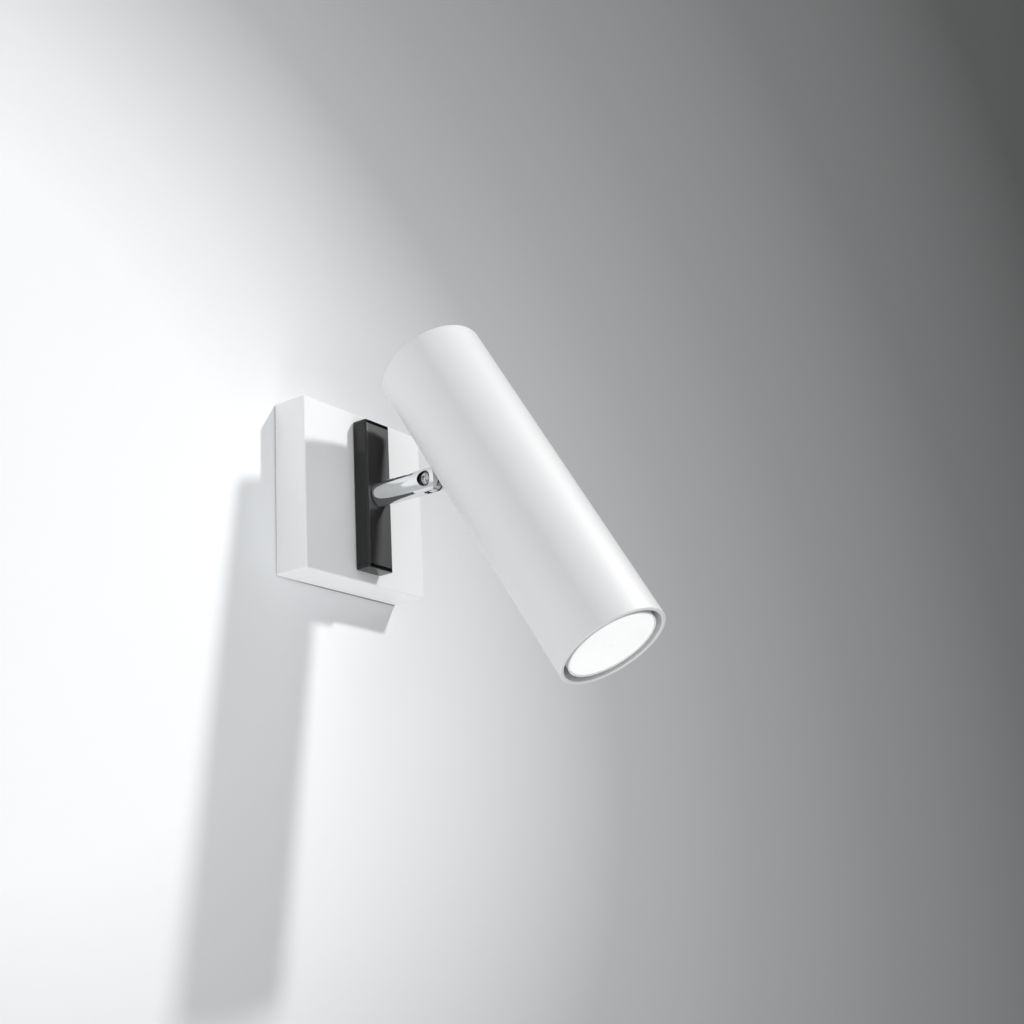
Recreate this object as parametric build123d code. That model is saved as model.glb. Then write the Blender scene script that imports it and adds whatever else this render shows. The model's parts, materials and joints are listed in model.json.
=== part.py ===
from build123d import *
import os
from math import asin, cos, degrees, radians, sin, sqrt

# Pivoting spotlight wall light.
#
# A square folded box hides a plate screwed to the wall. A black bar stands across the box, and a
# short chrome barrel turns in its middle. The barrel ends in a fork, and the eye between its ears
# carries a long round tube. A twist-lock lamp sits in a ceramic holder inside the tube's mouth.
#
# Millimetres. The wall is the plane Y = 0, the light stands on its -Y side, and Z is up. The origin
# is the middle of the box on the wall, on the axis that the barrel turns about.

# ---- the box on the wall
BOX_SIZE = 98.0
BOX_DEPTH = 22.0
BOX_WALL = 1.2
BOX_EDGE = 1.0
BOX_WALL_GAP = 0.4
RETURN_FLANGE = 7.0

# ---- the black bar
BAR_WIDTH = 20.0
BAR_DEPTH = 10.0
BAR_HEIGHT = 86.0
BAR_WALL = 2.0
BAR_EDGE = 1.4
CAP_THICK = 2.2
CAP_PLUG = 6.0
BAR_SCREW_PITCH = 56.0

# ---- the knuckle joint
STEM_REACH = 37.0          # front of the bar to the pin
STEM_R = 7.0
TAIL_R = 5.0
STEM_BORE_R = 3.0
FORK_SLOT = 5.2
EYE_THICK = 4.0
EYE_R = 6.6
EYE_BLADE = 12.6
DISC_THICK = 0.5
PIN_R = 2.0
PIN_HEAD_R = 3.7
PIN_HEAD_HIGH = 2.0
PIN_SINK_R = 4.2
PIN_SINK = 2.2
TUBE_GAP = 7.4             # pin to the nearest point of the tube
STUD_R = 3.0
STUD_BORE_R = 1.7
LEAD_SLOT = 1.8
LEAD_SLOT_WIDE = 9.0

# ---- where the tube points in the picture
HEAD_PAN = 4.0             # turned about the barrel, degrees
HEAD_TILT = 29.0           # mouth swung away from the wall, degrees

# ---- the stop that limits turning
STOP_RADIUS = 12.8
STOP_PIN_R = 1.3
STOP_TAB = 3.0
TAIL_FLAT = 4.1

# ---- the tube
TUBE_R = 30.0
TUBE_WALL = 2.2
TUBE_LENGTH = 200.0
MOUTH_DROP = 146.5         # pin to the mouth, along the tube
TUBE_TOP_EDGE = 1.6
TUBE_RIM_EDGE = 0.4

# ---- the lamp
LAMP_R = 25.0
LAMP_LENGTH = 46.0
LAMP_RECESS = 1.2
LAMP_RIM = 0.9
LAMP_WALL = 1.4
LAMP_NECK_R = 12.5
PRONG_PITCH = 10.0
PRONG_R = 1.5
PRONG_HEAD_R = 2.5
PRONG_HEAD_HIGH = 3.2
LAMP_TWIST = 25.0

# ---- the lamp holder and its bracket
HOLDER_R = 14.5
HOLDER_FLATS = 22.0
HOLDER_HIGH = 20.0
HOLDER_FACE = 3.1
CAVITY_DEEP = 7.4
HOLDER_SCREW_PITCH = 20.0
STRAP_WIDE = 14.0
STRAP_THICK = 1.2
STRAP_BEND = 1.5
FOOT_WIDE = 24.0

# ---- the wall plate
PLATE_THICK = 1.5
PLATE_WIDE = 84.0
PLATE_LOW = -38.0
SHELF_DEEP = 14.0
SHELF_WIDE = 72.0
BOX_SCREW_PITCH = 52.0
WALL_SLOT_PITCH = 60.0
WALL_SLOT_WIDE = 4.6
WALL_SLOT_LONG = 12.0
CABLE_HOLE_R = 7.0
CABLE_HOLE_UP = 24.0
CABLE_BORE_R = 4.5
HOOK_WIDE = 14.0
HOOK_PITCH = 56.0
EARTH_X = -30.0
EARTH_Z = -22.0
EARTH_BOSS_R = 3.6
EARTH_BOSS_HIGH = 2.6
EARTH_SCREW_R = 2.0

# ---- the terminal block
BLOCK_WIDE = 27.0
BLOCK_DEEP = 13.0
BLOCK_HIGH = 14.0
BLOCK_Z = -25.0
POLE_PITCH = 8.5
CLAMP_SIZE = 5.0
CLAMP_SPREAD = 3.4
TOWER_WIDE = 4.6
TOWER_HIGH = 3.5
WIRE_WAY = 2.8
CLAMP_R = 1.25

# ---- clearances
RUN = 0.05                 # running clearance of shafts and of faces that rub
SNUG = 0.02                # screws in their own threads, plugs in their tubes
LOOSE = 0.2                # clearance holes
SEAT = 0.3                 # parts that hang or hook on each other
ROCK = 0.6                 # tongue's free space at the bottom of the fork

# ---- worked out from the sizes above
HALF_BOX = BOX_SIZE / 2
BOX_FRONT = -BOX_DEPTH
BOX_INSIDE = BOX_FRONT + BOX_WALL
EARTH_FRONT = -PLATE_THICK - EARTH_BOSS_HIGH
BAR_FRONT = BOX_FRONT - BAR_DEPTH
PIVOT_Y = BAR_FRONT - STEM_REACH
FORK_FLOOR = PIVOT_Y + EYE_R + ROCK
TUBE_AXIS = -(TUBE_GAP + TUBE_R)
TUBE_BORE_R = TUBE_R - TUBE_WALL
TUBE_TOP = TUBE_LENGTH - MOUTH_DROP
LAMP_FACE = LAMP_RECESS - MOUTH_DROP
LAMP_BACK = LAMP_FACE + LAMP_LENGTH
HOLDER_LOW = LAMP_BACK + SEAT
HOLDER_TOP = HOLDER_LOW + HOLDER_HIGH
STRAP_OUT = TUBE_AXIS + sqrt(TUBE_BORE_R ** 2 - (STRAP_WIDE / 2) ** 2) - SNUG
STRAP_IN = STRAP_OUT - STRAP_THICK
PRONG_X = PRONG_PITCH / 2
SINK_FLOOR = STEM_R - PIN_SINK


# ---- shapes used again and again
def block(x, y, z):
    """Box between two values on each axis."""
    centre = Pos((x[0] + x[1]) / 2, (y[0] + y[1]) / 2, (z[0] + z[1]) / 2)
    return centre * Box(abs(x[1] - x[0]), abs(y[1] - y[0]), abs(z[1] - z[0]))


def rod_x(radius, x0, x1, y=0.0, z=0.0):
    return Pos((x0 + x1) / 2, y, z) * Rot(0, 90, 0) * Cylinder(radius, abs(x1 - x0))


def rod_y(radius, y0, y1, x=0.0, z=0.0):
    return Pos(x, (y0 + y1) / 2, z) * Rot(90, 0, 0) * Cylinder(radius, abs(y1 - y0))


def rod_z(radius, z0, z1, x=0.0, y=0.0):
    return Pos(x, y, (z0 + z1) / 2) * Cylinder(radius, abs(z1 - z0))


def turned(points):
    """Solid turned about Z from (radius, height) corners."""
    outline = Polyline(*[(r, 0, z) for r, z in points], close=True)
    return revolve(make_face(outline), Axis.Z)


def pan_screw(radius, length, head_r, head_high, slots=2):
    """Screw along Z: the head stands on Z = 0, the shank goes down, the recess is in the head."""
    head = rod_z(head_r, 0, head_high)
    head = chamfer(head.edges().sort_by(Axis.Z)[-1], head_high * 0.35)
    screw = head + rod_z(radius, -length, 0)
    recess = Pos(0, 0, head_high) * Box(head_r * 1.1, head_r * 0.24, head_high)
    for turn in range(slots):
        screw -= Rot(0, 0, 90 * turn) * recess
    return screw


def hex_nut(across, high, hole_r):
    """Nut standing on Z = 0, with both ends chamfered."""
    corner_r = across / sqrt(3)
    nut = extrude(RegularPolygon(corner_r, 6), high)
    lean = (corner_r - across / 2) * 0.6
    crown = turned([(0, 0), (across / 2, 0), (corner_r, lean), (corner_r, high - lean),
                    (across / 2, high), (0, high)])
    return (nut & crown) - rod_z(hole_r, 0, high)


def ring(outer, inner, thick):
    return rod_z(outer, 0, thick) - rod_z(inner, 0, thick)


FROM_FRONT = Rot(90, 0, 0)      # a screw's +Z end turned to -Y
FROM_BACK = Rot(-90, 0, 0)      # a screw's +Z end turned to +Y
FROM_LEFT = Rot(0, -90, 0)      # a screw's +Z end turned to -X


def turn_head(shape):
    """Put a piece drawn with the tube hanging straight down into the pictured pose."""
    return Pos(0, PIVOT_Y, 0) * Rot(0, -HEAD_PAN, 0) * Rot(-HEAD_TILT, 0, 0) * shape


def turn_stem(shape):
    return Rot(0, -HEAD_PAN, 0) * shape


# ---- fixed to the wall
def mounting_plate():
    top = HALF_BOX - BOX_WALL
    sheet = block((-PLATE_WIDE / 2, PLATE_WIDE / 2), (-PLATE_THICK, 0), (PLATE_LOW, top - 4))
    neck = block((-SHELF_WIDE / 2, SHELF_WIDE / 2), (-PLATE_THICK, 0), (top - 5, top))
    shelf = block((-SHELF_WIDE / 2, SHELF_WIDE / 2), (-SHELF_DEEP, 0), (top - PLATE_THICK, top))
    plate = sheet + neck + shelf
    bend = plate.edges().filter_by(Axis.X)
    outer = bend.filter_by_position(Axis.Y, -0.01, 0.01).sort_by(Axis.Z)[-1]
    plate = fillet(outer, PLATE_THICK + 0.5)
    # joggled hooks that reach in front of the box's return flange
    front = -(BOX_WALL_GAP + BOX_WALL + SEAT)
    tip = -HALF_BOX + BOX_WALL + 2.5
    side = Polyline((0, PLATE_LOW + 3), (0, PLATE_LOW), (front, PLATE_LOW - 2.2), (front, tip),
                    (front - PLATE_THICK, tip), (front - PLATE_THICK, PLATE_LOW - 1.2),
                    (-PLATE_THICK, PLATE_LOW + 1.2), (-PLATE_THICK, PLATE_LOW + 3), close=True)
    hook = extrude(Plane.YZ * make_face(side), HOOK_WIDE / 2, both=True)
    for x in (-HOOK_PITCH / 2, HOOK_PITCH / 2):
        plate += Pos(x, 0, 0) * hook
    # boss for the earth screw, pressed forward out of the sheet
    plate += rod_y(EARTH_BOSS_R, EARTH_FRONT, -PLATE_THICK, EARTH_X, EARTH_Z)
    plate -= rod_y(EARTH_SCREW_R + SNUG, EARTH_FRONT, 0, EARTH_X, EARTH_Z)
    # holes
    wall_slot = SlotOverall(WALL_SLOT_LONG, WALL_SLOT_WIDE)
    for x in (-WALL_SLOT_PITCH / 2, WALL_SLOT_PITCH / 2):
        plate -= Pos(x, 0, 0) * Rot(90, 0, 0) * extrude(wall_slot, PLATE_THICK)
    plate -= rod_y(CABLE_HOLE_R, -PLATE_THICK, 0, 0, CABLE_HOLE_UP)
    plate -= rod_y(CLAMP_R + SNUG, -PLATE_THICK, 0, POLE_PITCH / 2, BLOCK_Z)
    for x in (-BOX_SCREW_PITCH / 2, BOX_SCREW_PITCH / 2):
        plate -= rod_z(1.5 + SNUG, top - PLATE_THICK, top, x, -SHELF_DEEP / 2)
    return plate


def canopy():
    box = block((-HALF_BOX, HALF_BOX), (BOX_FRONT, -BOX_WALL_GAP), (-HALF_BOX, HALF_BOX))
    folded = box.edges().filter_by(Axis.Y) + box.faces().sort_by(Axis.Y)[0].edges()
    box = fillet(folded, BOX_EDGE)
    inner = HALF_BOX - BOX_WALL
    box -= block((-inner, inner), (BOX_INSIDE, 0), (-inner, inner))
    box += block((-inner, inner), (-BOX_WALL_GAP - BOX_WALL, -BOX_WALL_GAP),
                 (-HALF_BOX + BOX_WALL / 2, -HALF_BOX + BOX_WALL + RETURN_FLANGE - 1.2))
    box -= rod_y(TAIL_R + LOOSE, BOX_FRONT, BOX_INSIDE)
    for z in (-BAR_SCREW_PITCH / 2, BAR_SCREW_PITCH / 2):
        box -= rod_y(1.5 + LOOSE, BOX_FRONT, BOX_INSIDE, 0, z)
    box -= rod_y(STOP_PIN_R, BOX_FRONT, BOX_INSIDE, 0, STOP_RADIUS)
    for x in (-BOX_SCREW_PITCH / 2, BOX_SCREW_PITCH / 2):
        box -= rod_z(1.5 + LOOSE, inner, HALF_BOX, x, -SHELF_DEEP / 2)
    return box


def canopy_screws():
    screw = pan_screw(1.5, BOX_WALL + PLATE_THICK + 3.5, 2.8, 1.8)
    return [Pos(x, -SHELF_DEEP / 2, HALF_BOX) * screw
            for x in (-BOX_SCREW_PITCH / 2, BOX_SCREW_PITCH / 2)]


def cable_bush():
    flange = CABLE_HOLE_R + 1.6
    bush = turned([(CABLE_BORE_R, 0), (CABLE_HOLE_R, 0), (CABLE_HOLE_R, PLATE_THICK),
                   (flange, PLATE_THICK), (flange, PLATE_THICK + 1.2),
                   (CABLE_BORE_R + 1.0, PLATE_THICK + 3.0), (CABLE_BORE_R, PLATE_THICK + 3.0)])
    return Pos(0, 0, CABLE_HOLE_UP) * FROM_FRONT * bush


def clamp_depth():
    return -PLATE_THICK - BLOCK_DEEP / 2


def clamp_places():
    return [(n * POLE_PITCH, BLOCK_Z + up) for n in (-1, 0, 1)
            for up in (-CLAMP_SPREAD, CLAMP_SPREAD)]


def terminal_block():
    """Moulded strip with six square screw towers in front of three brass clamps."""
    back, middle = -PLATE_THICK, clamp_depth()
    front = back - BLOCK_DEEP
    low, high = BLOCK_Z - BLOCK_HIGH / 2, BLOCK_Z + BLOCK_HIGH / 2
    strip = block((-BLOCK_WIDE / 2, BLOCK_WIDE / 2), (front + TOWER_HIGH, back), (low, high))
    side = TOWER_WIDE / 2
    for x, z in clamp_places():
        strip += block((x - side, x + side), (front, front + TOWER_HIGH), (z - side, z + side))
    for x, z in clamp_places():
        strip -= rod_y(CLAMP_R + LOOSE, front, middle, x, z)
    half = CLAMP_SIZE / 2 + SNUG
    for n in (-1, 0, 1):
        x = n * POLE_PITCH
        strip -= block((x - half, x + half), (middle - half, middle + half), (low, high))
    strip -= rod_y(CLAMP_R + LOOSE, front, back, POLE_PITCH / 2, BLOCK_Z)
    return strip


def terminal_sleeves():
    """Brass box clamps, open from end to end for the wires, with a screw at each end."""
    middle, half, way = clamp_depth(), CLAMP_SIZE / 2, WIRE_WAY / 2
    low, high = BLOCK_Z - BLOCK_HIGH / 2 + 1, BLOCK_Z + BLOCK_HIGH / 2 - 1
    clamps = []
    for n in (-1, 0, 1):
        x = n * POLE_PITCH
        clamp = block((x - half, x + half), (middle - half, middle + half), (low, high))
        clamp -= block((x - way, x + way), (middle - way, middle + way), (low, high))
        for z in (BLOCK_Z - CLAMP_SPREAD, BLOCK_Z + CLAMP_SPREAD):
            clamp -= rod_y(CLAMP_R, middle - half, middle, x, z)
        clamps.append(clamp)
    return clamps


def terminal_screws():
    screw = rod_z(CLAMP_R - SNUG, 0, 4.0) - Pos(0, 0, 4.0) * Box(4, 0.6, 1.2)
    return [Pos(x, clamp_depth() - 0.2, z) * FROM_FRONT * screw for x, z in clamp_places()]


def terminal_fixing_screw():
    front = -PLATE_THICK - BLOCK_DEEP + TOWER_HIGH
    screw = pan_screw(CLAMP_R, BLOCK_DEEP - TOWER_HIGH + PLATE_THICK - 0.3, 2.1, 1.2, slots=1)
    return Pos(POLE_PITCH / 2, front, BLOCK_Z) * FROM_FRONT * screw


def earth_screw():
    screw = pan_screw(EARTH_SCREW_R, EARTH_BOSS_HIGH + 1.8, 3.6, 2.4, slots=1)
    return Pos(EARTH_X, EARTH_FRONT - 0.8, EARTH_Z) * FROM_FRONT * screw


def earth_washer():
    washer = ring(4.6, EARTH_SCREW_R + 0.1, 0.8)
    for n in range(10):
        washer -= Rot(0, 0, 36 * n) * Pos(4.6, 0, 0.4) * Box(1.2, 0.7, 0.8)
    return Pos(EARTH_X, EARTH_FRONT, EARTH_Z) * FROM_FRONT * washer


def bar_hollow(gap=0.0):
    """Outline of the bar's inside, which a plug fills with a gap all round."""
    inset = BAR_WALL + gap
    return Rectangle(BAR_WIDTH - 2 * inset, BAR_DEPTH - 2 * inset)


def bar_body():
    long = BAR_HEIGHT - 2 * CAP_THICK
    outline = RectangleRounded(BAR_WIDTH, BAR_DEPTH, BAR_EDGE)
    tube = extrude(outline - bar_hollow(), long / 2, both=True)
    bar = Pos(0, (BOX_FRONT + BAR_FRONT) / 2, 0) * tube
    bar -= rod_y(TAIL_R + RUN, BAR_FRONT, BOX_FRONT)
    for z in (-BAR_SCREW_PITCH / 2, BAR_SCREW_PITCH / 2):
        bar -= rod_y(1.5 + SNUG, BOX_FRONT - BAR_WALL, BOX_FRONT, 0, z)
    return bar


def bar_cap(up):
    """End cap with its plug pointing into the tube; up is 1 at the top and -1 at the bottom."""
    plate = extrude(RectangleRounded(BAR_WIDTH, BAR_DEPTH, BAR_EDGE), CAP_THICK)
    plate = fillet(plate.faces().sort_by(Axis.Z)[-1].edges(), 0.5)
    plug = extrude(bar_hollow(SNUG), -CAP_PLUG)
    plug -= Pos(0, 0, -CAP_PLUG / 2) * Box(BAR_WIDTH / 2, 20, CAP_PLUG - 2)
    cap = plate + plug
    end = Pos(0, (BOX_FRONT + BAR_FRONT) / 2, up * (BAR_HEIGHT / 2 - CAP_THICK))
    return end * (cap if up > 0 else Rot(180, 0, 0) * cap)


def bar_screws():
    screw = pan_screw(1.5, BOX_WALL + BAR_WALL + 1.5, 2.8, 1.8, slots=1)
    return [Pos(0, BOX_INSIDE, z) * FROM_BACK * screw
            for z in (-BAR_SCREW_PITCH / 2, BAR_SCREW_PITCH / 2)]


# faces of the stack that holds the barrel, going back from the inside of the box
NYLON_BACK = BOX_INSIDE + 0.8
TAB_FRONT = NYLON_BACK + RUN
TAB_BACK = TAB_FRONT + 1.0
SPRING_BACK = TAB_BACK + 1.0
NUT_BACK = SPRING_BACK + 3.5
TAIL_END = NUT_BACK + 0.8
PAN_STOP = 180 - degrees(asin((STOP_TAB / 2 + STOP_PIN_R) / STOP_RADIUS))


def stop_pin():
    pin = rod_y(STOP_PIN_R - SNUG, BOX_FRONT, TAB_BACK + 0.2, 0, STOP_RADIUS)
    collar = rod_y(STOP_PIN_R + 0.5, BOX_INSIDE, BOX_INSIDE + 0.5, 0, STOP_RADIUS)
    return pin + collar


def friction_washer():
    return Pos(0, BOX_INSIDE, 0) * FROM_BACK * ring(9.0, TAIL_R + RUN, 0.8)


# ---- turning with the barrel
def joint_stem():
    base = BAR_FRONT - RUN
    barrel = rod_y(STEM_R, PIVOT_Y, base)
    barrel = chamfer(barrel.edges().sort_by(Axis.Y)[-1], 0.6)
    nose = rod_y(STEM_R, PIVOT_Y - STEM_R, PIVOT_Y) & rod_x(STEM_R, -STEM_R, STEM_R, PIVOT_Y)
    stem = barrel + nose + rod_y(TAIL_R, base, TAIL_END)
    stem -= rod_y(STEM_BORE_R, FORK_FLOOR - 1, TAIL_END)
    # slot for the eye, with a round floor that follows it
    slot = rod_x(EYE_R + ROCK, -FORK_SLOT / 2, FORK_SLOT / 2, PIVOT_Y)
    slot += block((-FORK_SLOT / 2, FORK_SLOT / 2), (PIVOT_Y - STEM_R, PIVOT_Y),
                  (-STEM_R, STEM_R))
    slot += block((-FORK_SLOT / 2, FORK_SLOT / 2), (PIVOT_Y, PIVOT_Y + EYE_R * 0.55),
                  (-STEM_R, STEM_R))
    stem -= slot
    stem -= rod_x(PIN_R + SNUG, -STEM_R, STEM_R, PIVOT_Y)
    stem -= rod_x(PIN_SINK_R, -STEM_R, -SINK_FLOOR, PIVOT_Y)
    stem -= block((-TAIL_R, TAIL_R), (TAB_FRONT - 0.4, TAIL_END), (TAIL_FLAT, TAIL_R))
    return turn_stem(stem)


def stop_washer():
    """Washer keyed to the flat of the barrel's tail, with the tab that meets the stop pin."""
    washer = ring(8.6, TAIL_R + SNUG, 1.0)
    washer += block((-TAIL_R, TAIL_R), (TAIL_FLAT + SNUG, 7), (0, 1.0)) & rod_z(8.6, 0, 1.0)
    reach = STOP_RADIUS + STOP_PIN_R
    washer += block((-STOP_TAB / 2, STOP_TAB / 2), (-reach, -7), (0, 1.0))
    return turn_stem(Pos(0, TAB_FRONT, 0) * FROM_BACK * Rot(180, 0, 0) * Pos(0, 0, -1.0) * washer)


def spring_washer():
    """Split washer under the nut."""
    washer = ring(8.2, TAIL_R + 0.1, SPRING_BACK - TAB_BACK)
    washer -= Rot(0, 0, 30) * block((4, 9), (-0.5, 0.5), (0, 2))
    return turn_stem(Pos(0, TAB_BACK, 0) * FROM_BACK * washer)


def stem_nut():
    return turn_stem(Pos(0, SPRING_BACK, 0) * FROM_BACK * hex_nut(14.0, 3.5, TAIL_R + SNUG))


def pivot_screw():
    """Domed screw with a socket, sunk in the left ear and threaded into the right one."""
    dome = Pos(0, 0, PIN_HEAD_HIGH - 4.6) * Sphere(4.6)
    head = rod_z(PIN_HEAD_R, 0, PIN_HEAD_HIGH) & dome
    shank = rod_z(PIN_R, -SINK_FLOOR - STEM_R + 0.8, 0)
    socket = extrude(RegularPolygon(1.45, 6), 1.3)
    screw = head + shank - Pos(0, 0, PIN_HEAD_HIGH - 1.2) * socket
    return turn_stem(Pos(-SINK_FLOOR, PIVOT_Y, 0) * FROM_LEFT * screw)


def pivot_washers():
    disc = ring(EYE_R - 0.3, PIN_R + 0.1, DISC_THICK)
    side = FORK_SLOT / 2
    left = Pos(-side, PIVOT_Y, 0) * Rot(0, 90, 0) * disc
    right = Pos(side - DISC_THICK, PIVOT_Y, 0) * Rot(0, 90, 0) * disc
    return [turn_stem(left), turn_stem(right)]


# ---- tilting with the tube, drawn hanging straight down with the pin at the origin
def joint_tongue():
    half = EYE_THICK / 2
    eye = rod_x(EYE_R, -half, half)
    blade = block((-half, half), (-TUBE_GAP - 1.5, 0), (-EYE_BLADE / 2, EYE_BLADE / 2))
    tongue = (eye + blade) - rod_z(TUBE_R, -20, 20, 0, TUBE_AXIS)
    inside_end = STRAP_IN - 0.8 - 5.0 - 1.0
    tongue += rod_y(STUD_R, inside_end, -TUBE_GAP)
    # the two leads pass each side of the pin and go down the hollow stud
    tongue -= block((-LEAD_SLOT / 2, LEAD_SLOT / 2), (-TUBE_GAP + 2.0, EYE_R),
                    (-LEAD_SLOT_WIDE / 2, LEAD_SLOT_WIDE / 2))
    tongue -= rod_y(STUD_BORE_R, inside_end, -TUBE_GAP + 2.2)
    tongue -= rod_x(PIN_R + RUN, -half, half)
    return turn_head(tongue)


def lamp_tube():
    tube = rod_z(TUBE_R, -MOUTH_DROP, TUBE_TOP, 0, TUBE_AXIS)
    tube = fillet(tube.edges().sort_by(Axis.Z)[-1], TUBE_TOP_EDGE)
    tube -= rod_z(TUBE_BORE_R, -MOUTH_DROP, TUBE_TOP - TUBE_WALL, 0, TUBE_AXIS)
    rim = tube.edges().filter_by(GeomType.CIRCLE).group_by(Axis.Z)[0]
    tube = chamfer(rim, TUBE_RIM_EDGE)
    tube -= rod_y(STUD_R + LOOSE, TUBE_AXIS + 20, 0)
    return turn_head(tube)


def stud_washer():
    washer = ring(6.2, STUD_R + 0.1, 0.8)
    for n in range(8):
        washer -= Rot(0, 0, 45 * n) * Pos(6.2, 0, 0.4) * Box(1.8, 0.9, 0.8)
    return turn_head(Pos(0, STRAP_IN, 0) * FROM_FRONT * washer)


def stud_nut():
    nut = hex_nut(10.0, 5.0, STUD_R + SNUG)
    return turn_head(Pos(0, STRAP_IN - 0.8, 0) * FROM_FRONT * nut)


def holder_bracket():
    low = HOLDER_TOP
    tip = 12.0
    leg = block((-STRAP_WIDE / 2, STRAP_WIDE / 2), (STRAP_IN, STRAP_OUT), (low, tip - 7))
    leg += rod_y(STRAP_WIDE / 2, STRAP_IN, STRAP_OUT, 0, tip - 7)
    run = block((-STRAP_WIDE / 2, STRAP_WIDE / 2), (TUBE_AXIS, STRAP_OUT),
                (low, low + STRAP_THICK))
    corner = (leg + run).edges().filter_by(Axis.X)
    outer = corner.filter_by_position(Axis.Y, STRAP_OUT - 0.01, STRAP_OUT + 0.01).sort_by(Axis.Z)
    strap = fillet(outer[0], STRAP_THICK + STRAP_BEND)
    strap += block((-STRAP_WIDE / 2, STRAP_WIDE / 2), (STRAP_IN - STRAP_BEND, STRAP_IN),
                   (low + STRAP_THICK, low + STRAP_THICK + STRAP_BEND)) \
        - rod_x(STRAP_BEND, -20, 20, STRAP_IN - STRAP_BEND, low + STRAP_THICK + STRAP_BEND)
    foot = extrude(RectangleRounded(FOOT_WIDE, 2 * HOLDER_R, 5.0), STRAP_THICK)
    strap += Pos(0, TUBE_AXIS, low) * foot
    window = extrude(RectangleRounded(17.0, 9.0, 2.0), STRAP_THICK)
    strap -= Pos(0, TUBE_AXIS, low) * window
    for y in (-HOLDER_SCREW_PITCH / 2, HOLDER_SCREW_PITCH / 2):
        strap -= rod_z(1.5 + SNUG, low, low + STRAP_THICK, 0, TUBE_AXIS + y)
    strap -= rod_y(STUD_R + LOOSE, STRAP_IN, STRAP_OUT)
    return turn_head(strap)


def holder_screws():
    sunk = HOLDER_LOW + 3.2
    screw = pan_screw(1.5, HOLDER_TOP - sunk + STRAP_THICK + 1.5, 2.8, 1.8, slots=1)
    return [turn_head(Pos(0, TUBE_AXIS + y, sunk) * Rot(180, 0, 0) * screw)
            for y in (-HOLDER_SCREW_PITCH / 2, HOLDER_SCREW_PITCH / 2)]


def prong_arc(width, high):
    """Curved slot that a prong sweeps as the lamp is twisted out."""
    path = CenterArc((0, 0), PRONG_X, -LAMP_TWIST, LAMP_TWIST)
    return extrude(SlotArc(path, width), high)


def lamp_holder():
    body = extrude(Circle(HOLDER_R) & Rectangle(HOLDER_FLATS, 3 * HOLDER_R), HOLDER_HIGH)
    body = chamfer(body.faces().sort_by(Axis.Z)[0].edges(), 0.6)
    entry = Pos(PRONG_X * cos(radians(LAMP_TWIST)), -PRONG_X * sin(radians(LAMP_TWIST)), 0)
    keyhole = prong_arc(2 * PRONG_R + 2 * LOOSE, HOLDER_FACE)
    keyhole += entry * rod_z(PRONG_HEAD_R + 0.4, 0, HOLDER_FACE)
    keyhole += Pos(0, 0, HOLDER_FACE) * prong_arc(2 * PRONG_HEAD_R + 1.2, CAVITY_DEEP)
    keyhole += Rot(0, 0, -LAMP_TWIST / 2) * rod_z(1.3, HOLDER_FACE, HOLDER_HIGH, PRONG_X)
    for side in (0, 180):
        body -= Rot(0, 0, side) * keyhole
    for y in (-HOLDER_SCREW_PITCH / 2, HOLDER_SCREW_PITCH / 2):
        body -= rod_z(1.5 + LOOSE, 0, HOLDER_HIGH, 0, y)
        body -= rod_z(3.2, 0, 3.2, 0, y)
    return turn_head(Pos(0, TUBE_AXIS, HOLDER_LOW) * body)


def holder_contacts():
    """Flat springs above the prongs, each with a pad below and the tab that takes a lead."""
    floor = HOLDER_FACE + CAVITY_DEEP
    leaf = Pos(0, 0, floor - 0.6) * prong_arc(4.6, 0.6)
    tab = block((PRONG_X - 0.4, PRONG_X + 0.4), (-0.9, 0.9), (floor - 0.3, HOLDER_HIGH + 3.0))
    tab = Rot(0, 0, -LAMP_TWIST / 2) * tab
    pad = Pos(PRONG_X, 0, 0) * rod_z(1.7, PRONG_TIP - HOLDER_LOW + SEAT, floor - 0.3)
    contact = leaf + tab + pad
    return [turn_head(Pos(0, TUBE_AXIS, HOLDER_LOW) * Rot(0, 0, side) * contact)
            for side in (0, 180)]


# ---- twisting in the holder, drawn about the tube's axis
HEAD_START = HOLDER_LOW + HOLDER_FACE + SEAT
PRONG_TIP = HEAD_START + PRONG_HEAD_HIGH
LENS_BACK = LAMP_FACE + 2.4
BOARD_FRONT = LAMP_FACE + 5.0
BOARD_BACK = BOARD_FRONT + 1.6


def on_axis(shape):
    return turn_head(Pos(0, TUBE_AXIS, 0) * shape)


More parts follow.
